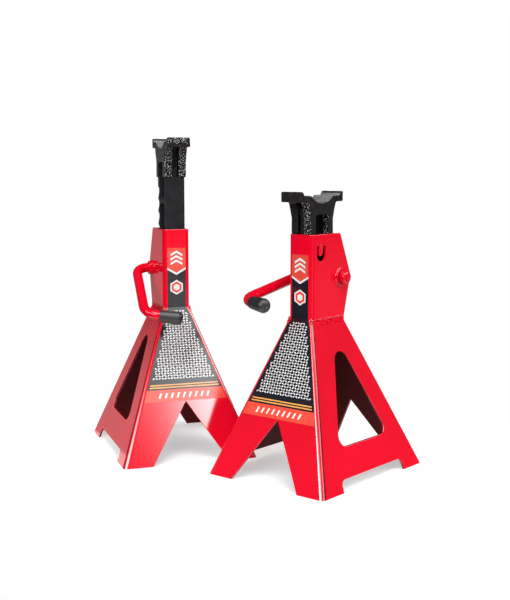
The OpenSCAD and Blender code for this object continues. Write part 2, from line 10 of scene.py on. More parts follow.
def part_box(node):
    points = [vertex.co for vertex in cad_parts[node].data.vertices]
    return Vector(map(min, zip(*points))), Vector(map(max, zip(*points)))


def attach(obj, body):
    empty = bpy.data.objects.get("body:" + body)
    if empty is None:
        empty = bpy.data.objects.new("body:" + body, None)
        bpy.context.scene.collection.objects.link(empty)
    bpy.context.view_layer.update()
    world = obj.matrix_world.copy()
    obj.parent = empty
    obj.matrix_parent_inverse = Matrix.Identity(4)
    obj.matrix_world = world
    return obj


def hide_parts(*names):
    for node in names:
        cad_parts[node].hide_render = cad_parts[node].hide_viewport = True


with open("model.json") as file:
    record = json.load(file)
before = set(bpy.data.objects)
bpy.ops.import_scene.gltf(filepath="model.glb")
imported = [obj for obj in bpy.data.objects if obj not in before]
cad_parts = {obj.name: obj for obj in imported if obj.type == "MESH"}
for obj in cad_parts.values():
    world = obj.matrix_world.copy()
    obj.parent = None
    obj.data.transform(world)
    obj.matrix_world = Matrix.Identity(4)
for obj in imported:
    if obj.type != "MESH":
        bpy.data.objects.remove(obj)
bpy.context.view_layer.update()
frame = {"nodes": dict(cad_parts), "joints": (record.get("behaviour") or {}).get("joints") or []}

MM = 0.001

# Each stand's base centre in the shared frame, in mm, and its turn in degrees
STANDS = {"right": ((153.203, 30.16), 0.0), "left": ((-100.7, -5.24), 58.6)}
JOINTS = {joint["name"]: joint for joint in frame["joints"]}


def place(stand):
    """Matrix from a stand's own frame, in mm, to the shared frame, in metres."""
    (x, y), yaw = STANDS[stand]
    return (Matrix.Translation((x * MM, y * MM, 0)) @ Matrix.Rotation(math.radians(yaw), 4, "Z")
            @ Matrix.Scale(MM, 4))


def in_right_stand(point):
    """A point of the shared frame in the right stand's own frame, to a hundredth of a mm."""
    return [round(v, 2) for v in place("right").inverted() @ Vector(point)]


def own_box(piece):
    """Lowest and highest corners of a piece of the right stand, in its own frame."""
    return [in_right_stand(corner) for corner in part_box(f"right_{piece}")]


# Sizes that the frame gives, in mm
BASE_W, BASE_D, BASE_H = (high - low for low, high in zip(*own_box("base_shell")))
REAR_TOP = own_box("base_rear_panel")[1][2]
COLUMN_LOW, COLUMN_HIGH = own_box("column_shell")
HALF_W, COLUMN_FRONT, COLUMN_TOP = -COLUMN_LOW[0], -COLUMN_LOW[1], COLUMN_HIGH[2]
SHAFT_BACK, SHAFT_Z = in_right_stand(JOINTS["right_handle_lift"]["pos_m"])[1:]
SIDE_RUN = (BASE_W / 2 - HALF_W) / BASE_H
FRONT_TILT = math.atan((BASE_D / 2 - COLUMN_FRONT) / BASE_H)
# Sizes that the pieces here share with the solids, in mm
FOOT_BEND_R, TOP_BEND_R, COLUMN_BEND_R = 7.0, 4.0, 6.0
COLUMN_REAR, REAR_SEAM, ROD_R = 35.0, 11.0, 7.0
# How far a handle droops at its joint's lower limit, in degrees
LOWEST_DROOP = 28.0


def handle_place(stand):
    """Matrix from the handle's plane to the shared frame."""
    droop = LOWEST_DROOP + JOINTS[f"{stand}_handle_lift"]["range_deg"][0]
    return (place(stand) @ Matrix.Translation((0, SHAFT_BACK, SHAFT_Z))
            @ Matrix.Rotation(math.radians(droop + 180), 4, "X"))


def base_half(z):
    """Half width of the base at a height."""
    return BASE_W / 2 - SIDE_RUN * z


def base_bend_r(z):
    """Outside radius of the base's bends at a height."""
    return FOOT_BEND_R + (TOP_BEND_R - FOOT_BEND_R) * z / BASE_H


def rear_y(z):
    """How far back the rear panel lies at a height."""
    return BASE_D / 2 + (COLUMN_REAR - BASE_D / 2) * z / REAR_TOP


def rise(value, start, span):
    """0 up to a start, rising to 1 over a span."""
    return max(0.0, min(1.0, (value - start) / span))


# Materials
# Most values of the noise lie between these two
NOISE_LOW, NOISE_HIGH = 0.3, 0.7
NOISE_ROUGHNESS = 0.55


def add(tree, kind, **settings):
    """A new node with its settings."""
    node = tree.nodes.new(kind)
    for key, value in settings.items():
        setattr(node, key, value)
    return node


def set_inputs(node, values):
    """Sets constants on a node's own sockets."""
    for socket, value in values.items():
        node.inputs[socket].default_value = value


def noise_node(tree, coords, scale, detail=3.0):
    """Noise of a scale over the object."""
    node = add(tree, "ShaderNodeTexNoise")
    set_inputs(node, {"Scale": scale, "Detail": detail, "Roughness": NOISE_ROUGHNESS})
    tree.links.new(coords, node.inputs["Vector"])
    return node.outputs["Fac"]


def ramp_node(tree, source, stops):
    """A colour between two stops, each a value of the source with its colour."""
    node = add(tree, "ShaderNodeValToRGB")
    for element, (at, colour) in zip(node.color_ramp.elements, stops):
        element.position = at
        element.color = (*colour, 1.0)
    tree.links.new(source, node.inputs["Fac"])
    return node.outputs["Color"]


def spread(tree, source, low, high):
    """The noise, stretched to a range."""
    node = add(tree, "ShaderNodeMapRange")
    set_inputs(node, {"From Min": NOISE_LOW, "From Max": NOISE_HIGH, "To Min": low, "To Max": high})
    tree.links.new(source, node.inputs["Value"])
    return node.outputs["Result"]


def shades(dark, light, low=NOISE_LOW, high=NOISE_HIGH):
    """Stops for a colour that drifts between two shades."""
    return [(low, dark), (high, light)]


def surface(name, stops, colour_scale, rough, rough_scale, bumps=(), metallic=0.0, specular=0.5, coat=0.0,
            coat_rough=0.05, coat_ior=1.5):
    """A finish whose colour and gloss drift. A bump has a noise scale, a strength and a depth in metres."""
    mat = bpy.data.materials.new(name)
    mat.use_nodes = True
    tree = mat.node_tree
    shader = tree.nodes["Principled BSDF"]
    coords = add(tree, "ShaderNodeTexCoord").outputs["Object"]
    colour = ramp_node(tree, noise_node(tree, coords, colour_scale), stops)
    tree.links.new(colour, shader.inputs["Base Color"])
    gloss = spread(tree, noise_node(tree, coords, rough_scale), *rough)
    tree.links.new(gloss, shader.inputs["Roughness"])
    normal_to = shader.inputs["Normal"]
    for scale, strength, depth in reversed(bumps):
        bump = add(tree, "ShaderNodeBump")
        set_inputs(bump, {"Strength": strength, "Distance": depth})
        tree.links.new(noise_node(tree, coords, scale, detail=2.0), bump.inputs["Height"])
        tree.links.new(bump.outputs["Normal"], normal_to)
        normal_to = bump.inputs["Normal"]
    set_inputs(shader, {"Metallic": metallic, "Specular IOR Level": specular, "Coat Weight": coat,
                        "Coat Roughness": coat_rough, "Coat IOR": coat_ior})
    return mat


PLAIN_RED = shades((0.66, 0.0010, 0.015), (0.74, 0.0016, 0.019))
# The column's red is painted brighter than the base's, standing in for more light on its walls
RED_PAINTED_BRIGHTER = shades((0.75, 0.0010, 0.017), (0.83, 0.0016, 0.021))


def red_paint(name, coat_ior, coat_rough=0.05, peel=0.05, stops=PLAIN_RED):
    """Gloss red enamel, with more or less mirror and orange peel in it."""
    return surface(name, stops, colour_scale=14.0, rough=(0.36, 0.44), rough_scale=30.0,
                   bumps=[(420.0, peel, 0.0004)], specular=0.0, coat=1.0, coat_rough=coat_rough,
                   coat_ior=coat_ior)


def label_print(name, dark, light, bumps=()):
    """Semi-gloss print on the label's film."""
    return surface(name, shades(dark, light), colour_scale=45.0, rough=(0.4, 0.5), rough_scale=60.0,
                   bumps=bumps, specular=0.0, coat=1.0, coat_rough=0.2, coat_ior=1.9)


RED = red_paint("red_gloss_paint", coat_ior=2.2)
RED_PANEL = red_paint("red_panel_paint", coat_ior=2.2, coat_rough=0.1, peel=0.22)
RED_COLUMN_PAINTED_BRIGHTER = red_paint("red_column_painted_brighter", coat_ior=1.4, stops=RED_PAINTED_BRIGHTER)
RED_ROD = red_paint("red_rod_paint", coat_ior=1.45, coat_rough=0.03)
RED_BEND = red_paint("red_column_bends", coat_ior=1.45)
RED_BAND = surface("red_over_rough_weld", shades((0.30, 0.001, 0.008), (0.72, 0.0015, 0.018), 0.35, 0.55),
                   colour_scale=420.0, rough=(0.4, 0.5), rough_scale=200.0, bumps=[(700.0, 0.2, 0.0004)],
                   specular=0.0, coat=1.0, coat_rough=0.1, coat_ior=1.15)
# Painted shade: a near-black red where shade falls, inside the base, on its cut edges and in the cap's groove
RED_PAINTED_SHADE = surface("red_painted_shade", shades((0.055, 0.001, 0.002), (0.085, 0.0015, 0.003)),
                     colour_scale=40.0, rough=(0.5, 0.62), rough_scale=60.0, bumps=[(500.0, 0.1, 0.0005)],
                     specular=0.1)
RED_WELD = surface("painted_weld", shades((0.58, 0.001, 0.013), (0.74, 0.002, 0.019)),
                   colour_scale=120.0, rough=(0.3, 0.42), rough_scale=90.0, bumps=[(700.0, 0.2, 0.0004)],
                   specular=0.0, coat=1.0, coat_rough=0.05, coat_ior=2.0)
CAST = surface("black_painted_cast", shades((0.013, 0.0125, 0.0145), (0.021, 0.020, 0.023)),
               colour_scale=60.0, rough=(0.36, 0.5), rough_scale=120.0,
               bumps=[(260.0, 0.1, 0.0005), (900.0, 0.08, 0.0003)], specular=0.14)
CAST_ROUGH = surface("rough_black_cast", shades((0.012, 0.0105, 0.012), (0.027, 0.024, 0.027), high=0.72),
                     colour_scale=180.0, rough=(0.2, 0.42), rough_scale=200.0,
                     bumps=[(420.0, 0.3, 0.0008), (1300.0, 0.25, 0.0004)],
                     specular=0.05, coat=0.5, coat_rough=0.08, coat_ior=1.3)
# Painted glints: white specks in the black base colour of the glossy sand-cast faces
CAST_PAINTED_GLINTS = surface("sand_cast_painted_glints", shades((0.003, 0.003, 0.0036), (0.80, 0.80, 0.84), 0.57, 0.65),
                     colour_scale=700.0, rough=(0.25, 0.4), rough_scale=200.0,
                     specular=0.0, coat=0.8, coat_rough=0.06, coat_ior=1.5)
# Painted highlight: light grey on the upward faces at the top of the head, the saddle's dish and horns
CAST_PAINTED_HIGHLIGHT = surface("cast_dish_painted_highlight", shades((0.10, 0.097, 0.10), (0.21, 0.205, 0.21)),
                    colour_scale=120.0, rough=(0.3, 0.45), rough_scale=200.0, bumps=[(420.0, 0.2, 0.0006)],
                    specular=0.4)
# Painted shade: near-black for the floors of the bar's side pockets, where shade falls
CAST_PAINTED_SHADE = surface("black_cast_painted_pocket_shade", shades((0.0015, 0.0013, 0.0016), (0.003, 0.0026, 0.003)),
                    colour_scale=60.0, rough=(0.5, 0.6), rough_scale=120.0, bumps=[(260.0, 0.1, 0.0005)],
                    specular=0.03)
RUBBER = surface("dark_grip_rubber", shades((0.011, 0.011, 0.014), (0.018, 0.018, 0.022)),
                 colour_scale=90.0, rough=(0.42, 0.48), rough_scale=140.0, bumps=[(140.0, 0.03, 0.0003)],
                 specular=0.75)
STEEL = surface("pin_steel", shades((0.42, 0.42, 0.43), (0.56, 0.56, 0.58)),
                colour_scale=200.0, rough=(0.28, 0.42), rough_scale=220.0, bumps=[(900.0, 0.1, 0.0002)],
                metallic=1.0)
FILM = label_print("label_dark_field", (0.006, 0.0065, 0.012), (0.010, 0.0105, 0.017),
                   bumps=[(300.0, 0.03, 0.0003)])
INK_CORAL = label_print("label_coral", (0.74, 0.060, 0.036), (0.82, 0.078, 0.048))
INK_WHITE = label_print("label_white", (0.78, 0.77, 0.76), (0.86, 0.86, 0.85))
INK_ORANGE = label_print("label_orange", (0.80, 0.34, 0.070), (0.88, 0.41, 0.095))
FLOOR = surface("pale_floor", shades((0.62, 0.62, 0.62), (0.64, 0.64, 0.64)),
                colour_scale=3.0, rough=(0.6, 0.7), rough_scale=4.0, specular=0.2)
WHITE = (1.0, 1.0, 1.0, 1.0)


# Mesh helpers
# Vertices closer than this, in metres, are one, and faces within this angle, in degrees, are one flat
TOUCH_M, FLAT_DEG = 1e-6, 0.4
SHARP_DEG, EASE_STEPS = 40.0, 2
NORMAL_WEIGHT = 60
NOISE_FALLOFF, OCTAVE_RATIO = 1.0, 2.0


def finish_piece(bm, name, body, materials, matrix=None, sharp=38.0, weighted=True, stands_for=()):
    """Turns a bmesh into a piece that rides on a body."""
    if matrix is not None:
        bmesh.ops.transform(bm, matrix=matrix, verts=bm.verts)
    bmesh.ops.recalc_face_normals(bm, faces=bm.faces)
    for f in bm.faces:
        f.smooth = True
    mesh = bpy.data.meshes.new(name)
    bm.to_mesh(mesh)
    bm.free()
    for m in materials:
        mesh.materials.append(m)
    mesh.set_sharp_from_angle(angle=math.radians(sharp))
    piece = bpy.data.objects.new(name, mesh)
    bpy.context.scene.collection.objects.link(piece)
    if weighted:
        even = piece.modifiers.new("even_normals", "WEIGHTED_NORMAL")
        even.keep_sharp = True
        even.weight = NORMAL_WEIGHT
    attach(piece, body)
    if stands_for:
        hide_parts(*stands_for)


def copy_of(node):
    """The node's mesh as a bmesh with its flat faces whole again."""
    bm = bmesh.new()
    bm.from_mesh(frame["nodes"][node].data)
    bmesh.ops.remove_doubles(bm, verts=bm.verts, dist=TOUCH_M)
    bmesh.ops.dissolve_limit(bm, angle_limit=math.radians(FLAT_DEG), use_dissolve_boundaries=False,
                             verts=bm.verts, edges=bm.edges)
    for f in bm.faces:
        f.material_index = 0
    return bm


def round_edges(bm, edges, width, steps):
    """Rounds edges and returns the new faces."""
    return bmesh.ops.bevel(bm, geom=edges, offset=width, offset_type="OFFSET", segments=steps, profile=0.5,
                           affect="EDGES", clamp_overlap=False)["faces"]


def ease_edges(bm, width, above=SHARP_DEG):
    """Rounds every edge sharper than an angle."""
    edges = [e for e in bm.edges if len(e.link_faces) == 2 and e.calc_face_angle(0) > math.radians(above)]
    round_edges(bm, edges, width, EASE_STEPS)


def fractal(p, octaves=3):
    """Fractal noise about zero at a point."""
    return noise.fractal(p, NOISE_FALLOFF, OCTAVE_RATIO, octaves)


def steps_between(a, b, gap):
    """Points from a to b, about a gap apart."""
    a, b = Vector(a), Vector(b)
    n = max(2, round((b - a).length / gap))
    return [a.lerp(b, i / n) for i in range(n + 1)]


def join_rings(bm, a, b):
    """Faces between two rings of as many points."""
    for k in range(len(a)):
        j = (k + 1) % len(a)
        bm.faces.new((a[k], a[j], b[j], b[k]))


def tube(bm, points, radius, sides):
    """A closed tube along points. The radius is a function of the share of the way and the angle."""
    n = len(points)
    ways = [(points[min(i + 1, n - 1)] - points[max(i - 1, 0)]).normalized() for i in range(n)]
    side = ways[0].orthogonal().normalized()
    rings = []
    for i, (p, way) in enumerate(zip(points, ways)):
        side = (side - way * side.dot(way)).normalized()
        up = way.cross(side)
        ring = []
        for k in range(sides):
            a = 2 * math.pi * k / sides
            ring.append(bm.verts.new(p + (side * math.cos(a) + up * math.sin(a)) * radius(i / (n - 1), a)))
        rings.append(ring)
    for a, b in zip(rings, rings[1:]):
        join_rings(bm, a, b)
    bm.faces.new(list(reversed(rings[0])))
    bm.faces.new(rings[-1])


def lathe(bm, profile, sides):
    """A closed turned shape round the x axis from points given as (x, radius), whose ends lie on the axis."""
    rings = []
    for x, r in profile:
        if r == 0.0:
            rings.append([bm.verts.new((x, 0, 0))])
        else:
            rings.append([bm.verts.new((x, r * math.cos(2 * math.pi * k / sides),
                                        r * math.sin(2 * math.pi * k / sides))) for k in range(sides)])
    for a, b in zip(rings, rings[1:]):
        for k in range(sides):
            j = (k + 1) % sides
            if len(a) == 1:
                bm.faces.new((a[0], b[k], b[j]))
            elif len(b) == 1:
                bm.faces.new((a[k], b[0], a[j]))
            else:
                bm.faces.new((a[k], b[k], b[j], a[j]))


def prism(bm, corners, low, high, lift):
    """A thin closed plate: corners in a plane, lifted by a function of place and height."""
    n = len(corners)
    bottom = [bm.verts.new(lift(x, s, low)) for x, s in corners]
    top = [bm.verts.new(lift(x, s, high)) for x, s in corners]
    bm.faces.new(bottom)
    bm.faces.new(list(reversed(top)))
    for i in range(n):
        j = (i + 1) % n
        bm.faces.new((bottom[j], bottom[i], top[i], top[j]))


# Pieces that keep the solids' shapes, with their edges eased by so many mm
PANEL_EASE, WALL_EASE, RIM_EASE, BAR_EASE = 0.5, 0.4, 0.9, 0.5
RIM_STEPS = 3
# The column's bends aren't sharper than this, in degrees
WALL_SHARP_DEG = 50.0
# A base face that looks out by less than this is inside or a cut edge, and one that looks along
# both axes by more than this is a bend
OUTSIDE_COS, BASE_BEND_COS = 0.3, 0.05
# A bend of the column looks forward and sideways by more than this and up by less, and its area in m2
# is larger
BEND_FORWARD, BEND_SIDEWAYS, BEND_UPWARD, BEND_AREA = 0.05, 0.6, 0.1, 2e-5


def panel_out(p):
    """Outward direction of the base panel nearest to a place in the stand's frame."""
    half_x = base_half(p.z)
    if abs(p.x) / half_x > abs(p.y) / (half_x * BASE_D / BASE_W):
        return Vector((math.copysign(1, p.x), 0, 0))
    return Vector((0, math.copysign(1, p.y), 0))


def pressed_panel(stand, piece):
    """A base panel: gloss paint outside, and painted shade, a near-black red, inside and on the cut edges."""
    node = f"{stand}_{piece}"
    bm = copy_of(node)
    to_local = place(stand).inverted()
    turn = to_local.to_3x3().normalized()
    for f in bm.faces:
        at, out = to_local @ f.calc_center_median(), turn @ f.normal
        # Faces inside the base and on its cut edges get painted shade
        if out.dot(panel_out(at)) < OUTSIDE_COS:
            f.material_index = 1
        elif min(abs(out.x), abs(out.y)) > BASE_BEND_COS:
            f.material_index = 2
    ease_edges(bm, PANEL_EASE * MM)
    finish_piece(bm, node + "_painted", f"{stand}_stand", [RED_PANEL, RED_PAINTED_SHADE, RED],
                 stands_for=[node])


def eased(stand, piece, body, material, width):
    """A node's own shape with its edges eased."""
    node = f"{stand}_{piece}"
    bm = copy_of(node)
    ease_edges(bm, width * MM)
    finish_piece(bm, node + "_finished", body, [material], stands_for=[node])


def is_column_bend(face, normal):
    """Whether a face is on a bend beside the column's front. Its normal is in the stand's frame."""
    return (normal.y < -BEND_FORWARD and abs(normal.x) > BEND_SIDEWAYS and abs(normal.z) < BEND_UPWARD
            and face.calc_area() > BEND_AREA)


def column_shell(stand):
    """The column's walls: a soft top rim, and bends that mirror more than the flats."""
    node = f"{stand}_column_shell"
    bm = copy_of(node)
    turn = place(stand).inverted().to_3x3().normalized()
    for f in bm.faces:
        if is_column_bend(f, turn @ f.normal):
            f.material_index = 1
    rim = [e for e in bm.edges if all(abs(v.co.z - COLUMN_TOP * MM) < TOUCH_M for v in e.verts)
           and e.calc_face_angle(0) > math.radians(SHARP_DEG)]
    for f in round_edges(bm, rim, RIM_EASE * MM, RIM_STEPS):
        f.material_index = 2
    ease_edges(bm, WALL_EASE * MM, above=WALL_SHARP_DEG)
    # The flats take the red that is painted brighter
    finish_piece(bm, node + "_finished", f"{stand}_stand", [RED_COLUMN_PAINTED_BRIGHTER, RED_BEND, RED],
                 stands_for=[node])


# The shaft's cap, in mm: its box and radius, its edge, the groove behind it and its dome, which takes in
# a share of its radius
CAP_LOW, CAP_HIGH = own_box("shaft_cap")
CAP_R, CAP_EDGE = SHAFT_Z - CAP_LOW[2], 0.3
GROOVE_L, GROOVE_R = 0.9, 7.8
CAP_DOME_L, CAP_DOME_SHARE = 4.0, 0.62
CAP_SIDES, DOME_STEPS = 48, 12


def shaft_cap(stand):
    """The domed cap on the shaft's far end."""
    start, tip = CAP_LOW[0], CAP_HIGH[0]
    face = start + GROOVE_L
    profile = [(start, 0.0), (start, GROOVE_R), (face, GROOVE_R), (face, CAP_R - CAP_EDGE),
               (face + CAP_EDGE, CAP_R)]
    for i in range(DOME_STEPS + 1):
        a = math.pi / 2 * i / DOME_STEPS
        profile.append((tip - CAP_DOME_L * (1 - math.sin(a)),
                        CAP_R * (1 - CAP_DOME_SHARE * (1 - math.cos(a)))))
    profile.append((tip, 0.0))
    bm = bmesh.new()
    lathe(bm, profile, CAP_SIDES)
    # The groove's faces get painted shade
    for f in bm.faces:
        if f.calc_center_median().x < face + CAP_EDGE / 4:
            f.material_index = 1
    finish_piece(bm, f"{stand}_shaft_cap_domed", f"{stand}_handle", [RED_ROD, RED_PAINTED_SHADE],
                 matrix=place(stand) @ Matrix.Translation((0, SHAFT_BACK, SHAFT_Z)), sharp=50.0,
                 weighted=False, stands_for=[f"{stand}_shaft_cap"])


# Ratchet bar, in mm: the gap from the column to the lowered bar's shoulder, the cuts below the shoulder
# between the shank and the head, and sizes of the head above it
SHOULDER_GAP = 0.2
SHANK_CUT, HEAD_CUT = 0.05, 1.0
HEAD_H, CHANNEL_HALF, RIB_BACK = 43.5, 4.25, -28.0
POCKET_FLOOR_X, POCKET_TOP = 12.0, 26.0
SADDLE_Y, SADDLE_FRONT = -14.0, -56.5
# Where upward faces get a painted highlight: lowest and highest height, and reach either way from the
# saddle's middle
HIGHLIGHT_LOW, HIGHLIGHT_TOP, HIGHLIGHT_HALF = HEAD_H - 4.0, 55.0, 43.0
# Least share of a normal that faces the way of a pocket's floor (painted shade) or of a top face (painted
# highlight)
SHANK_POCKET_COS, POCKET_COS, HIGHLIGHT_COS = 0.9, 0.6, 0.45
# The sand-cast skin, in mm: its mesh, how deep it is cut, and each noise's waves per mm with its depth
VOXEL, SMOOTHINGS, SMOOTH_FACTOR = 0.7, 4, 0.5
SKIN_DEPTH, GRAIN_DEPTH = 0.18, 0.4
COARSE_WAVES, COARSE_SWING = 0.16, 0.16
FINE_WAVES, FINE_SWING, FINE_SHIFT = 0.55, 0.12, Vector((7, 3, 1))
GRAIN_WAVES, GRAIN_SWING, GRAIN_SHIFT = 0.62, 0.6, Vector((1, 9, 4))
# The coarse grain: how fast it grows as a face turns forward, where it starts and over how many mm it
# fades in, and the share from which its faces get painted glints
FACING_GAIN = 1.6
CHANNEL_FADE = 1.5
FOOT_FADE_FROM, FOOT_FADE = -1.0, 3.0
SADDLE_FADE_FROM, SADDLE_FADE = HEAD_H + 4.0, 4.0
PAINTED_GLINT_FROM = 0.35
SMOOTH_STAND = "right"


def grain_and_painted_glint_share(at, normal, stand):
    """How coarse the skin is: one side of the smooth head, the front ribs and saddle nose of the other."""
    facing = rise(-FACING_GAIN * normal.y, 0.0, 1.0)
    if at.z < HEAD_H:
        smooth = at.x < 0 if stand == SMOOTH_STAND else at.y > RIB_BACK
        outside = rise(abs(at.x), CHANNEL_HALF, CHANNEL_FADE)
        return 0.0 if smooth else facing * outside * rise(at.z, FOOT_FADE_FROM, FOOT_FADE)
    forward = rise(-at.y, -SADDLE_FRONT, SADDLE_FADE)
    high = rise(at.z, SADDLE_FADE_FROM, SADDLE_FADE)
    return 0.0 if stand == SMOOTH_STAND else forward * high * max(facing, normal.z)


def shoulder_z(stand):
    """Height of a bar's shoulder: a raised bar stands above its joint's lower limit."""
    return COLUMN_TOP + SHOULDER_GAP - JOINTS[f"{stand}_bar_lift"]["range_m"][0] / MM


def bar_part(stand, cut_z, upper):
    """The bar above or below a height, in the stand's own frame and closed at the cut."""
    bm = copy_of(f"{stand}_ratchet_bar")
    bmesh.ops.transform(bm, matrix=place(stand).inverted(), verts=bm.verts)
    cut = bmesh.ops.bisect_plane(bm, geom=bm.verts[:] + bm.edges[:] + bm.faces[:], plane_co=(0, 0, cut_z),
                                 plane_no=(0, 0, 1), clear_inner=upper, clear_outer=not upper)
    bmesh.ops.contextual_create(bm, geom=[e for e in cut["geom_cut"] if isinstance(e, bmesh.types.BMEdge)])
    return bm


def even_mesh(bm):
    """The same shape in small even faces, a little smoothed."""
    mesh = bpy.data.meshes.new("head_source")
    bm.to_mesh(mesh)
    bm.free()
    source = bpy.data.objects.new("head_source", mesh)
    bpy.context.scene.collection.objects.link(source)
    remesh = source.modifiers.new("even_faces", "REMESH")
    remesh.mode = "VOXEL"
    remesh.voxel_size = VOXEL
    even = bmesh.new()
    even.from_mesh(bpy.data.meshes.new_from_object(
        source.evaluated_get(bpy.context.evaluated_depsgraph_get())))
    bpy.data.objects.remove(source)
    for _ in range(SMOOTHINGS):
        bmesh.ops.smooth_vert(even, verts=even.verts, factor=SMOOTH_FACTOR, use_axis_x=True, use_axis_y=True,
                              use_axis_z=True)
    even.normal_update()
    return even


def bar_shank(stand):
    """The bar's machined-looking shank with its teeth."""
    node = f"{stand}_ratchet_bar"
    shank = bar_part(stand, shoulder_z(stand) - SHANK_CUT, upper=False)
    # The floors of the side pockets get painted shade
    for f in shank.faces:
        if abs(f.normal.x) > SHANK_POCKET_COS and abs(f.calc_center_median().x) < POCKET_FLOOR_X:
            f.material_index = 1
    ease_edges(shank, BAR_EASE)
    finish_piece(shank, node + "_shank", f"{stand}_bar", [CAST, CAST_PAINTED_SHADE], matrix=place(stand),
                 stands_for=[node])


def bar_head(stand):
    """The rough cast head with the saddle."""
    node = f"{stand}_ratchet_bar"
    shoulder = shoulder_z(stand)
    head = bar_part(stand, shoulder - HEAD_CUT, upper=True)
    bmesh.ops.translate(head, vec=(0, 0, -shoulder), verts=head.verts)
    cast = even_mesh(head)
    for v in cast.verts:
        coarse = COARSE_SWING * fractal(v.co * COARSE_WAVES, octaves=2)
        fine = FINE_SWING * fractal(v.co * FINE_WAVES + FINE_SHIFT)
        grain = GRAIN_DEPTH + GRAIN_SWING * fractal(v.co * GRAIN_WAVES + GRAIN_SHIFT, octaves=2)
        depth = SKIN_DEPTH + coarse + fine + grain_and_painted_glint_share(v.co, v.normal, stand) * grain
        v.co -= v.normal * max(0.0, depth)
    cast.normal_update()
    # Faces with coarse grain get painted glints, pocket floors painted shade, upward saddle faces a painted
    # highlight
    for f in cast.faces:
        at = f.calc_center_median()
        if grain_and_painted_glint_share(at, f.normal, stand) > PAINTED_GLINT_FROM:
            f.material_index = 1
        elif abs(f.normal.x) > POCKET_COS and abs(at.x) < POCKET_FLOOR_X and at.z < POCKET_TOP:
            f.material_index = 2
        elif HIGHLIGHT_LOW < at.z < HIGHLIGHT_TOP and f.normal.z > HIGHLIGHT_COS and abs(at.y - SADDLE_Y) < HIGHLIGHT_HALF:
            f.material_index = 3
    bmesh.ops.translate(cast, vec=(0, 0, shoulder), verts=cast.verts)
    finish_piece(cast, node + "_cast_head", f"{stand}_bar",
                 [CAST_ROUGH, CAST_PAINTED_GLINTS, CAST_PAINTED_SHADE, CAST_PAINTED_HIGHLIGHT], matrix=place(stand), sharp=180.0,
                 weighted=False, stands_for=[node])


# Welds
# Beads: shares of the radius in the plain tube, its ripples and its noise, the share left at the tips,
# the length of the taper beyond the radius, in mm, and the noise's waves per mm
BEAD_SIDES = 10
BEAD_PLAIN, BEAD_RIPPLE, BEAD_UNEVEN = 0.82, 0.14, 0.16
BEAD_TIP, BEAD_TAPER = 0.25, 1.0
BEAD_WAVES, BEAD_SEED_SHARE = 0.21, 0.3


def bead(bm, points, size, ripple, seed):
    """A weld bead: overlapping ripples along points, with an uneven edge and tapered ends."""
    total = sum((b - a).length for a, b in zip(points, points[1:]))

    def radius(share, angle):
        along, to_end = share * total, min(share, 1 - share) * total
        wave = abs(math.sin(math.pi * along / ripple))
        uneven = fractal(Vector((along * BEAD_WAVES + seed, math.cos(angle),
                                 math.sin(angle) + seed * BEAD_SEED_SHARE)))
        ends = min(1.0, BEAD_TIP + to_end / (size + BEAD_TAPER))
        return size * ends * (BEAD_PLAIN + BEAD_RIPPLE * wave + BEAD_UNEVEN * uneven)

    tube(bm, points, radius, BEAD_SIDES)


def weld_piece(bm, stand, name, paint, sharp, stands_for=()):
    """A painted weld on a stand, from a bmesh in the stand's own frame."""
    finish_piece(bm, f"{stand}_{name}", f"{stand}_stand", [paint], matrix=place(stand),
                 sharp=sharp, weighted=False, stands_for=stands_for)


# The column's side seams, in mm: where the beads run, and the skirts of rough weld metal below them
SEAM_FRONT, SEAM_REAR, SEAM_OUT = COLUMN_BEND_R - COLUMN_FRONT - 2, COLUMN_REAR - 1.5, 0.2
SEAM_R, SEAM_RIPPLE, SEAM_STEP = 0.95, 5.0, 0.8
SKIRT_FRONT, SKIRT_REAR = COLUMN_BEND_R - COLUMN_FRONT, 27.0
SKIRT_LOW, SKIRT_HIGH = BASE_H - 8.5, BASE_H - 0.8
SKIRT_COLUMNS, SKIRT_ROWS = 120, 18
# A skirt fades out over so many columns, and one of its rows counts for so many of them
SKIRT_FADE, ROW_COLUMNS = 6.0, 3
SKIRT_WAVES_Y, SKIRT_WAVES_Z = 0.8, 0.9
SKIRT_PROUD, SKIRT_SWING, SKIRT_LEAST, SKIRT_SUNK = 0.2, 0.4, -0.15, 0.6
SEAM_SIDE_SEED, SEAM_SEED = 3.1, {"right": 0.0, "left": 7.0}


def seam_welds(stand):
    """Side seams of the column: a bead on the seam, and rough weld metal that runs down from it."""
    beads, skirts = bmesh.new(), bmesh.new()
    for side in (1, -1):
        seed = SEAM_SIDE_SEED * side + SEAM_SEED[stand]
        x = side * (HALF_W + SEAM_OUT)
        line = steps_between((x, SEAM_FRONT, BASE_H), (x, SEAM_REAR, BASE_H), SEAM_STEP)
        bead(beads, line, SEAM_R, SEAM_RIPPLE, seed)
        rough_skirt(skirts, side, seed)
    weld_piece(beads, stand, "seam_weld_beads", RED_WELD, sharp=60.0, stands_for=[f"{stand}_seam_welds"])
    weld_piece(skirts, stand, "seam_weld_skirt", RED_BAND, sharp=60.0)


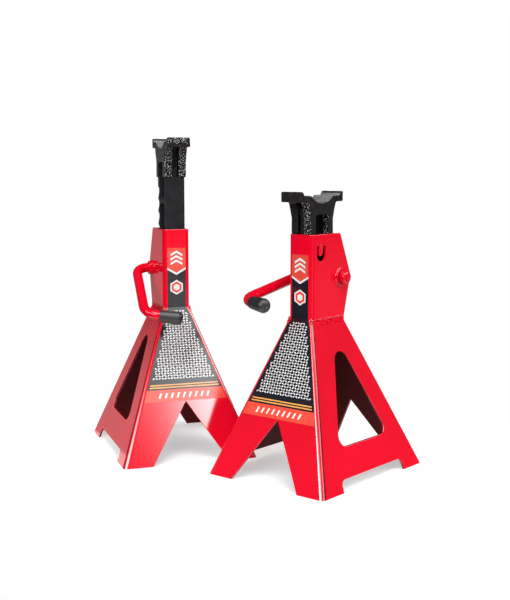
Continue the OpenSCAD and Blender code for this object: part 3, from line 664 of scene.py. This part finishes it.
def rough_skirt(bm, side, seed):
    """Uneven weld metal on the sloped panel below the seam, closed inside the sheet."""
    grid = []
    for i in range(SKIRT_COLUMNS + 1):
        column = []
        for j in range(SKIRT_ROWS + 1):
            y = SKIRT_FRONT + (SKIRT_REAR - SKIRT_FRONT) * i / SKIRT_COLUMNS
            z = SKIRT_LOW + (SKIRT_HIGH - SKIRT_LOW) * j / SKIRT_ROWS
            to_edge = min(i, SKIRT_COLUMNS - i, ROW_COLUMNS * j, ROW_COLUMNS * (SKIRT_ROWS - j))
            rough = fractal(Vector((y * SKIRT_WAVES_Y + seed, z * SKIRT_WAVES_Z, seed)))
            proud = max(SKIRT_LEAST, min(1.0, to_edge / SKIRT_FADE) * (SKIRT_PROUD + SKIRT_SWING * rough))
            column.append(bm.verts.new((side * (base_half(z) + proud), y, z)))
        grid.append(column)
    for i in range(SKIRT_COLUMNS):
        for j in range(SKIRT_ROWS):
            bm.faces.new((grid[i][j], grid[i + 1][j], grid[i + 1][j + 1], grid[i][j + 1]))
    rim = ([grid[i][0] for i in range(SKIRT_COLUMNS)]
           + [grid[SKIRT_COLUMNS][j] for j in range(SKIRT_ROWS)]
           + [grid[i][SKIRT_ROWS] for i in range(SKIRT_COLUMNS, 0, -1)]
           + [grid[0][j] for j in range(SKIRT_ROWS, 0, -1)])
    sunk = [bm.verts.new((side * (base_half(v.co.z) - SKIRT_SUNK), v.co.y, v.co.z)) for v in rim]
    join_rings(bm, rim, sunk)
    bm.faces.new(sunk)


# Middles and radii of the lumps at one front corner, in mm, and their form
LUMPS = ((18.6, -40.4, 218.6, 1.7), (20.2, -39.4, 217.0, 1.5), (19.4, -41.3, 215.0, 1.3),
         (21.2, -40.4, 213.4, 1.5), (20.4, -42.2, 211.6, 1.2), (17.0, -41.6, 217.2, 1.1))
LUMP_TALL, LUMP_SWING, LUMP_WAVES = 1.15, 0.28, 1.6
LUMP_SIDE_SEED, LUMP_NEXT_SEED, LUMP_SEED_SKEW = 1.3, 1.9, 1.7
LUMP_SEED = {"right": 0.0, "left": 4.0}


def lump(bm, at, r, seed):
    """An uneven drop of weld metal."""
    shift = Vector((seed, seed * LUMP_SEED_SKEW, -seed))
    for v in bmesh.ops.create_icosphere(bm, subdivisions=3, radius=1.0)["verts"]:
        swell = 1.0 + LUMP_SWING * fractal(v.co * LUMP_WAVES + shift)
        v.co = Vector(at) + Vector((v.co.x * r, v.co.y * r, v.co.z * r * LUMP_TALL)) * swell


def corner_lumps(stand):
    """Lumps where the seam ends on the front corners."""
    bm = bmesh.new()
    for side in (1, -1):
        for k, (x, y, z, r) in enumerate(LUMPS):
            lump(bm, (side * x, y, z), r, LUMP_SIDE_SEED * side + LUMP_SEED[stand] + LUMP_NEXT_SEED * k)
    weld_piece(bm, stand, "corner_weld_lumps", RED_WELD, sharp=80.0)


# Stitch welds on the rear seams and the bead along the rear panel's top, in mm
STITCHES, STITCH_FROM, STITCH_PITCH, STITCH_L = 6, 14.0, 34.0, 22.0
STITCH_R, STITCH_RIPPLE, STITCH_STEP, STITCH_NEXT_SEED = 1.7, 4.0, 0.9, 2.3
TOP_BEAD_HALF, TOP_BEAD_OUT = 16, 0.3
TOP_BEAD_R, TOP_BEAD_RIPPLE, TOP_BEAD_STEP, TOP_BEAD_SEED = 1.5, 3.6, 0.8, 9.0


def rear_seams(stand):
    """Stitch welds down both seams of the rear panel, and a bead along its top on the column."""
    bm = bmesh.new()
    for side in (1, -1):
        for k in range(STITCHES):
            low = STITCH_FROM + k * STITCH_PITCH
            ends = [(side * (base_half(z) - REAR_SEAM), rear_y(z), z) for z in (low, low + STITCH_L)]
            bead(bm, steps_between(*ends, STITCH_STEP), STITCH_R, STITCH_RIPPLE, k * STITCH_NEXT_SEED + side)
    ends = [(x, COLUMN_REAR + TOP_BEAD_OUT, REAR_TOP) for x in (-TOP_BEAD_HALF, TOP_BEAD_HALF)]
    bead(bm, steps_between(*ends, TOP_BEAD_STEP), TOP_BEAD_R, TOP_BEAD_RIPPLE, TOP_BEAD_SEED)
    weld_piece(bm, stand, "rear_stitch_welds", RED_WELD, sharp=60.0)


# Fillet welds round the shaft's bosses: steps and waves round the ring, shares of the radius in the plain
# ring, its ripples and its noise with its waves per mm, and the share at mid height and what the top adds
RING_STEPS, RING_WAVES = 96, 11
RING_PLAIN, RING_RIPPLE, RING_UNEVEN, RING_NOISE_WAVES = 0.82, 0.16, 0.2, 0.3
RING_MIDDLE, RING_TOP = 0.78, 0.22


def ring_weld(stand, name, x, ring_r, size, seed, paint):
    """A fillet bead round a boss on the column's side wall, thinner at the bottom."""
    bm = bmesh.new()
    rings = []
    for i in range(RING_STEPS):
        a = 2 * math.pi * i / RING_STEPS
        out = Vector((0, math.cos(a), math.sin(a)))
        centre = Vector((x, SHAFT_BACK + ring_r * math.cos(a), SHAFT_Z + ring_r * math.sin(a)))
        ripple = abs(math.sin(a * RING_WAVES))
        ring = []
        for k in range(BEAD_SIDES):
            b = 2 * math.pi * k / BEAD_SIDES
            uneven = fractal(centre * RING_NOISE_WAVES + Vector((seed, b, 0)))
            r = size * (RING_PLAIN + RING_RIPPLE * ripple + RING_UNEVEN * uneven)
            r *= RING_MIDDLE + RING_TOP * math.sin(a)
            ring.append(bm.verts.new(centre + out * (r * math.cos(b)) + Vector((r * math.sin(b), 0, 0))))
        rings.append(ring)
    for i in range(RING_STEPS):
        join_rings(bm, rings[i], rings[(i + 1) % RING_STEPS])
    weld_piece(bm, stand, name, paint, sharp=80.0)


# Handle: the rod's corners in its own plane and its bends, in mm, and the grip's splay in degrees
SHAFT_END = own_box("handle_rod")[1][0]
ARM_NEAR, ARM_FAR, ARM_L, GRIP_SPLAY = 46.0, 57.5, 122.0, 16.0
NEAR_BEND, FAR_BEND = 20.0, 24.0
GRIP_L, GRIP_WALL, GRIP_LEAD = 34.0, 2.5, 1.0
ROD_STEP, ROD_SIDES, BEND_STEPS = 8.0, 40, 18
ROD_FROM = Vector((SHAFT_END, 0, 0))
NEAR_CORNER = Vector((-ARM_NEAR, 0, 0))
FAR_CORNER = Vector((-ARM_FAR, ARM_L, 0))
GRIP_WAY = Vector((math.cos(math.radians(GRIP_SPLAY)), math.sin(math.radians(GRIP_SPLAY)), 0))


def bend_reach(a, b, c, r):
    """How far from its corner a bend starts."""
    return r / math.tan((a - b).angle(c - b) / 2)


ROD_TO = FAR_CORNER + GRIP_WAY * (bend_reach(NEAR_CORNER, FAR_CORNER, FAR_CORNER + GRIP_WAY, FAR_BEND)
                                  + GRIP_LEAD + GRIP_L - GRIP_WALL)


def bend_points(a, b, c, r):
    """Points round a bend of the rod's centre line."""
    u, w = (a - b).normalized(), (c - b).normalized()
    reach = bend_reach(a, b, c, r)
    mid = b + (u + w).normalized() * r / math.sin(u.angle(w) / 2)
    first, last = (b + u * reach - mid).normalized(), (b + w * reach - mid).normalized()
    return [mid + first.slerp(last, i / BEND_STEPS) * r for i in range(BEND_STEPS + 1)]


def handle_rod(stand):
    """The bent round bar: shaft, arm and grip core."""
    near = bend_points(ROD_FROM, NEAR_CORNER, FAR_CORNER, NEAR_BEND)
    far = bend_points(NEAR_CORNER, FAR_CORNER, ROD_TO, FAR_BEND)
    line = (steps_between(ROD_FROM, near[0], ROD_STEP)[:-1] + near
            + steps_between(near[-1], far[0], ROD_STEP)[1:-1] + far
            + steps_between(far[-1], ROD_TO, ROD_STEP)[1:])
    bm = bmesh.new()
    tube(bm, line, lambda share, angle: ROD_R, ROD_SIDES)
    finish_piece(bm, f"{stand}_handle_rod_painted", f"{stand}_handle", [RED_ROD],
                 matrix=handle_place(stand), sharp=50.0, weighted=False, stands_for=[f"{stand}_handle_rod"])


# The grip's outline, in mm: its dimple as (depth, radius) from the tip, its dome and taper, and its lip as
# (depth, radius) from the mouth
DIMPLE = ((1.3, 0.0), (1.3, 1.0), (1.0, 1.7), (0.25, 2.1), (0.1, 2.3))
CROWN_IN, CROWN_R = DIMPLE[-1]
GRIP_DOME, GRIP_END_R, MOUTH_R = 7.0, 10.0, 8.5
GRIP_SIDES, TAPER_STEPS = 64, 9
LIP = ((1.2, MOUTH_R), (0.5, MOUTH_R - 0.12), (0.1, MOUTH_R - 0.45), (0.0, ROD_R + 0.35), (0.3, ROD_R + 0.05),
       (3.0, ROD_R + 0.02), (3.0, 0.0))
LIP_L = LIP[0][0]


def handle_grip(stand):
    """Moulded grip: a tapered sleeve with a soft lip, a domed end and a small moulding dimple."""
    mouth, tip = GRIP_WALL - GRIP_L, GRIP_WALL
    profile = [(tip - depth, r) for depth, r in DIMPLE]
    for i in range(1, DOME_STEPS + 1):
        a = math.pi / 2 * i / DOME_STEPS
        profile.append((tip - GRIP_DOME * (1 - math.cos(a)) - CROWN_IN,
                        CROWN_R + (GRIP_END_R - CROWN_R) * math.sin(a)))
    dome_end, lip_start = tip - GRIP_DOME, mouth + LIP_L
    for i in range(1, TAPER_STEPS):
        share = i / TAPER_STEPS
        profile.append((dome_end + (lip_start - dome_end) * share,
                        GRIP_END_R + (MOUTH_R - GRIP_END_R) * share))
    profile += [(mouth + depth, r) for depth, r in LIP]
    bm = bmesh.new()
    lathe(bm, profile, GRIP_SIDES)
    turn = (handle_place(stand) @ Matrix.Translation(ROD_TO)
            @ Matrix.Rotation(math.radians(GRIP_SPLAY), 4, "Z"))
    finish_piece(bm, f"{stand}_handle_grip_moulded", f"{stand}_handle", [RUBBER], matrix=turn,
                 sharp=60.0, weighted=False, stands_for=[f"{stand}_handle_grip"])


# Label: generic blocks and a tread pattern on the dark film, in mm. Places along it start at the base's top
FILM_TOP, INK_T = 0.22, 0.05
LABEL_HALF = HALF_W - COLUMN_BEND_R
LABEL_FLARE = 10.0
LABEL_FOOT_Z, LABEL_TOP_Z = (corner[2] for corner in own_box("front_label"))
LABEL_RISE = LABEL_TOP_Z - BASE_H
LABEL_LOW = -(BASE_H - LABEL_FOOT_Z) / math.cos(FRONT_TILT)
BLOCK_LOW, BLOCK_POINT = 60.0, 8.0
BAND_TOP, BAND_T = BLOCK_LOW - 0.4, 3.2
CHEVRONS_AT, CHEVRON_HALF, CHEVRON_RISE, CHEVRON_T = (66.5, 73.0, 79.5), 9.0, 5.0, 3.4
HEXAGON_AT, HEXAGON_R, HEXAGON_RING_R, HEXAGON_CORE_R = 30.0, 11.0, 8.6, 5.0
STRIP_TOP = LABEL_LOW + 17.5
BARS, BAR_PITCH, BAR_HALF, BAR_LEAN = 9, 9.0, 1.4, 3.0
BAR_TOP, BAR_LOW = STRIP_TOP - 5.0, STRIP_TOP - 12.5
RULES_AT, RULE_T, RULE_IN = (STRIP_TOP + 4.2, STRIP_TOP + 7.8), 1.8, 3
TREAD_TOP, TREAD_LOW, TREAD_IN = -6.0, STRIP_TOP + 13.0, 5.0
TREAD_ROW, TREAD_PITCH, TREAD_LEAN_DEG = 3.7, 4.5, 32
MARK_HALF_L, MARK_HALF_W, MARK_FLAT = 2.05, 0.9, 0.4


def on_column(x, s, h):
    """A place on the column's front: across, along and above it."""
    return (x, -COLUMN_FRONT - h, BASE_H + s)


def on_base(x, s, h):
    """A place on the base's sloped front: across, along and above it."""
    c, t = math.cos(FRONT_TILT), math.sin(FRONT_TILT)
    return (x, -COLUMN_FRONT + s * t - h * c, BASE_H + s * c + h * t)


def label_edge(s):
    """Half width of the label at a place on the sloped panel."""
    z = BASE_H + s * math.cos(FRONT_TILT)
    low = min(z, BASE_H - LABEL_FLARE)
    wide = base_half(low) - base_bend_r(low)
    return LABEL_HALF + (wide - LABEL_HALF) * min(1.0, (BASE_H - z) / LABEL_FLARE)


def ink(stand, name, material, lift, outlines, layer=0):
    """Printed shapes with these outlines, in a layer above the film."""
    bm = bmesh.new()
    low = FILM_TOP + layer * INK_T
    for corners in outlines:
        prism(bm, corners, low, low + INK_T, lift)
    finish_piece(bm, f"{stand}_label_{name}", f"{stand}_stand", [material], matrix=place(stand),
                 sharp=30.0, weighted=False)


def chevron(top, half, point, thick):
    """A chevron whose middle is higher than its ends by a length."""
    return [(-half, top), (0, top + point), (half, top), (half, top - thick), (0, top + point - thick),
            (-half, top - thick)]


def hexagon(r):
    """A hexagon that stands on a corner."""
    corners = [math.radians(60 * k + 30) for k in range(6)]
    return [(r * math.cos(a), HEXAGON_AT + r * math.sin(a)) for a in corners]


def across_label(top, low, top_half, low_half):
    """A block across the sloped panel."""
    return [(-top_half, top), (top_half, top), (low_half, low), (-low_half, low)]


def tread_mark(x, s, lean):
    """A short pointed mark, turned by an angle."""
    c, t = math.cos(lean), math.sin(lean)
    flat = MARK_HALF_L * MARK_FLAT
    outline = ((-MARK_HALF_L, 0), (-flat, -MARK_HALF_W), (flat, -MARK_HALF_W), (MARK_HALF_L, 0),
               (flat, MARK_HALF_W), (-flat, MARK_HALF_W))
    return [(x + u * c - v * t, s + u * t + v * c) for u, v in outline]


def tread_marks():
    """Rows of marks down the label, leaning one way and the other by turns."""
    marks = []
    for row in range(math.ceil((TREAD_TOP - TREAD_LOW) / TREAD_ROW)):
        s = TREAD_TOP - row * TREAD_ROW
        count = int((label_edge(s) - TREAD_IN) // TREAD_PITCH)
        for k in range(-count, count + 1):
            lean = TREAD_LEAN_DEG if (row + k) % 2 else -TREAD_LEAN_DEG
            marks.append(tread_mark(k * TREAD_PITCH, s, math.radians(lean)))
    return marks


def label(stand):
    """The film, which is the CAD node itself, and the print on it."""
    frame["nodes"][f"{stand}_front_label"].material_slots[0].material = FILM
    w, top = LABEL_HALF, LABEL_RISE
    block = [(-w, top), (-w, BLOCK_LOW), (0, BLOCK_LOW - BLOCK_POINT), (w, BLOCK_LOW), (w, top)]
    chevrons = [chevron(at, CHEVRON_HALF, CHEVRON_RISE, CHEVRON_T) for at in CHEVRONS_AT]
    ink(stand, "top_block", INK_CORAL, on_column, [block])
    ink(stand, "top_band", INK_WHITE, on_column, [chevron(BAND_TOP, w, -BLOCK_POINT, BAND_T)])
    ink(stand, "chevrons", INK_WHITE, on_column, chevrons, layer=1)
    ink(stand, "hexagon", INK_WHITE, on_column, [hexagon(HEXAGON_R)])
    ink(stand, "hexagon_ring", INK_CORAL, on_column, [hexagon(HEXAGON_RING_R)], layer=1)
    ink(stand, "hexagon_core", INK_WHITE, on_column, [hexagon(HEXAGON_CORE_R)], layer=2)
    strip = across_label(STRIP_TOP, LABEL_LOW, label_edge(STRIP_TOP), label_edge(LABEL_LOW))
    ink(stand, "foot_strip", INK_CORAL, on_base, [strip])
    bars = []
    for k in range(BARS):
        x = (k - BARS // 2) * BAR_PITCH
        bars.append([(x - BAR_HALF, BAR_TOP), (x + BAR_HALF, BAR_TOP), (x - BAR_LEAN + BAR_HALF, BAR_LOW),
                     (x - BAR_LEAN - BAR_HALF, BAR_LOW)])
    ink(stand, "foot_bars", INK_WHITE, on_base, bars, layer=1)
    rules = []
    for s in RULES_AT:
        half = label_edge(s) - RULE_IN
        rules.append(across_label(s, s - RULE_T, half, half))
    ink(stand, "rules", INK_ORANGE, on_base, rules)
    ink(stand, "tread_marks", INK_WHITE, on_base, tread_marks())


for stand in STANDS:
    stand_body, handle_body = f"{stand}_stand", f"{stand}_handle"
    pressed_panel(stand, "base_shell")
    pressed_panel(stand, "base_rear_panel")
    column_shell(stand)
    # The rear plate takes the column's red that is painted brighter
    eased(stand, "column_rear_plate", stand_body, RED_COLUMN_PAINTED_BRIGHTER, width=0.4)
    eased(stand, "upper_guide", stand_body, RED, width=0.6)
    eased(stand, "lower_guide", stand_body, RED, width=0.6)
    eased(stand, "shaft_bush", stand_body, RED_ROD, width=0.6)
    eased(stand, "shaft_washer", stand_body, RED_ROD, width=0.6)
    shaft_cap(stand)
    eased(stand, "pawl", handle_body, CAST, width=0.4)
    eased(stand, "pawl_pin", handle_body, STEEL, width=0.4)
    bar_shank(stand)
    bar_head(stand)
    seam_welds(stand)
    corner_lumps(stand)
    rear_seams(stand)
    ring_weld(stand, "bush_fillet_weld", x=-HALF_W - 0.3, ring_r=10.6, size=1.2, seed=2.0, paint=RED_ROD)
    ring_weld(stand, "washer_fillet_weld", x=HALF_W + 0.2, ring_r=12.1, size=1.5, seed=6.0, paint=RED_WELD)
    handle_rod(stand)
    handle_grip(stand)
    label(stand)


# Floor: a round pad just below the feet, in metres, that glows a little so that its shadows stay pale
FLOOR_R, FLOOR_SIDES, FLOOR_AT = 0.46, 96, (0.17, -0.02, -0.0004)
FLOOR_GLOW = 0.48
set_inputs(FLOOR.node_tree.nodes["Principled BSDF"],
           {"Emission Color": WHITE, "Emission Strength": FLOOR_GLOW})
bm = bmesh.new()
bmesh.ops.create_circle(bm, cap_ends=True, segments=FLOOR_SIDES, radius=FLOOR_R)
floor_mesh = bpy.data.meshes.new("floor")
bm.to_mesh(floor_mesh)
bm.free()
floor_mesh.materials.append(FLOOR)
floor = bpy.data.objects.new("floor", floor_mesh)
floor.location = FLOOR_AT
bpy.context.scene.collection.objects.link(floor)

# Studio: dim all round, with large soft panels of light
# Azimuth (0 in front, 90 to the right), half width, elevation, half height, softness in degrees; brightness
PANELS = [
    (8, 28, 26, 9, 5, 8.1),
    (118, 16, 29, 9, 4, 8.5),
    (83, 10, 35, 9, 4, 2.0),
    (55, 30, 60, 13, 6, 8.8),
    (-105, 14, -15, 16, 3, 0.31),
    (73, 14, -17, 13, 3, 0.7),
    (144, 12, -17, 13, 3, 0.25),
    (157, 7, 28, 7, 3, 5.0),
    (81, 6, 25, 3, 1.8, 6.5),
]
AMBIENT = 0.05
world = bpy.data.worlds.new("studio")
world.use_nodes = True
sky = world.node_tree


def sky_math(operation, a, b):
    """The result of an operation on two numbers or sockets."""
    node = add(sky, "ShaderNodeMath", operation=operation)
    for socket, value in zip(node.inputs, (a, b)):
        if isinstance(value, float):
            socket.default_value = value
        else:
            sky.links.new(value, socket)
    return node.outputs["Value"]


def within(angle, middle, half, soft):
    """1 inside a range of angles, fading to 0 outside it. Angles wrap round."""
    away = sky_math("PINGPONG", sky_math("SUBTRACT", angle, math.radians(middle)), math.pi)
    node = add(sky, "ShaderNodeMapRange", interpolation_type="SMOOTHSTEP")
    set_inputs(node, {"From Min": math.radians(half + soft), "From Max": math.radians(half - soft)})
    sky.links.new(away, node.inputs["Value"])
    return node.outputs["Result"]


axes = add(sky, "ShaderNodeSeparateXYZ")
sky.links.new(add(sky, "ShaderNodeTexCoord").outputs["Generated"], axes.inputs["Vector"])
azimuth = sky_math("ARCTAN2", axes.outputs["X"], sky_math("MULTIPLY", axes.outputs["Y"], -1.0))
elevation = sky_math("ARCSINE", axes.outputs["Z"], 0.0)
light = AMBIENT
for panel_az, half_az, panel_el, half_el, soft, level in PANELS:
    mask = sky_math("MULTIPLY", within(azimuth, panel_az, half_az, soft),
                    within(elevation, panel_el, half_el, soft))
    light = sky_math("ADD", sky_math("MULTIPLY", mask, level), light)
# The backdrop itself is white, from wherever it is seen
seen = add(sky, "ShaderNodeLightPath").outputs["Is Camera Ray"]
sky.links.new(sky_math("MAXIMUM", light, seen), sky.nodes["Background"].inputs["Strength"])
set_inputs(sky.nodes["Background"], {"Color": WHITE})
bpy.context.scene.world = world

# A soft box above that looks at the pair: its direction in degrees, sizes in metres, power in watts
BOX_AZIMUTH, BOX_ELEVATION = math.radians(40), math.radians(75)
BOX_DISTANCE, BOX_SIZE, BOX_POWER = 2.4, 1.2, 6
BOX_AIM = Vector((0, 0, 0.2))
lamp_data = bpy.data.lights.new("top_box", "AREA")
lamp_data.shape = "RECTANGLE"
lamp_data.size, lamp_data.size_y = BOX_SIZE, BOX_SIZE
lamp_data.energy = BOX_POWER
lamp = bpy.data.objects.new("top_box", lamp_data)
lamp.location = BOX_AIM + BOX_DISTANCE * Vector((math.sin(BOX_AZIMUTH) * math.cos(BOX_ELEVATION),
                                                 -math.cos(BOX_AZIMUTH) * math.cos(BOX_ELEVATION),
                                                 math.sin(BOX_ELEVATION)))
lamp.rotation_mode = "QUATERNION"
lamp.rotation_quaternion = (BOX_AIM - lamp.location).to_track_quat("-Z", "Y")
bpy.context.scene.collection.objects.link(lamp)

# Camera: its place from the right stand, in mm, its dip and turn in degrees, and its focal length in pixels
CAMERA_FROM, CAMERA_DIP, CAMERA_TURN, FOCAL_PX = Vector((871.7, -1180.1, 420.4)), 6.9955, 39.885, 1056.6
SENSOR_MM, PHOTO_H = 36.0, 600
camera_data = bpy.data.cameras.new("camera")
camera_data.sensor_width = SENSOR_MM
camera_data.lens = FOCAL_PX * SENSOR_MM / PHOTO_H
camera_data.clip_start, camera_data.clip_end = 0.05, 100.0
camera = bpy.data.objects.new("camera", camera_data)
camera.location = place("right") @ CAMERA_FROM
camera.rotation_euler = (math.radians(90 - CAMERA_DIP), 0, math.radians(CAMERA_TURN))
bpy.context.scene.collection.objects.link(camera)
bpy.context.scene.camera = camera
bpy.context.scene.view_settings.view_transform = "Standard"
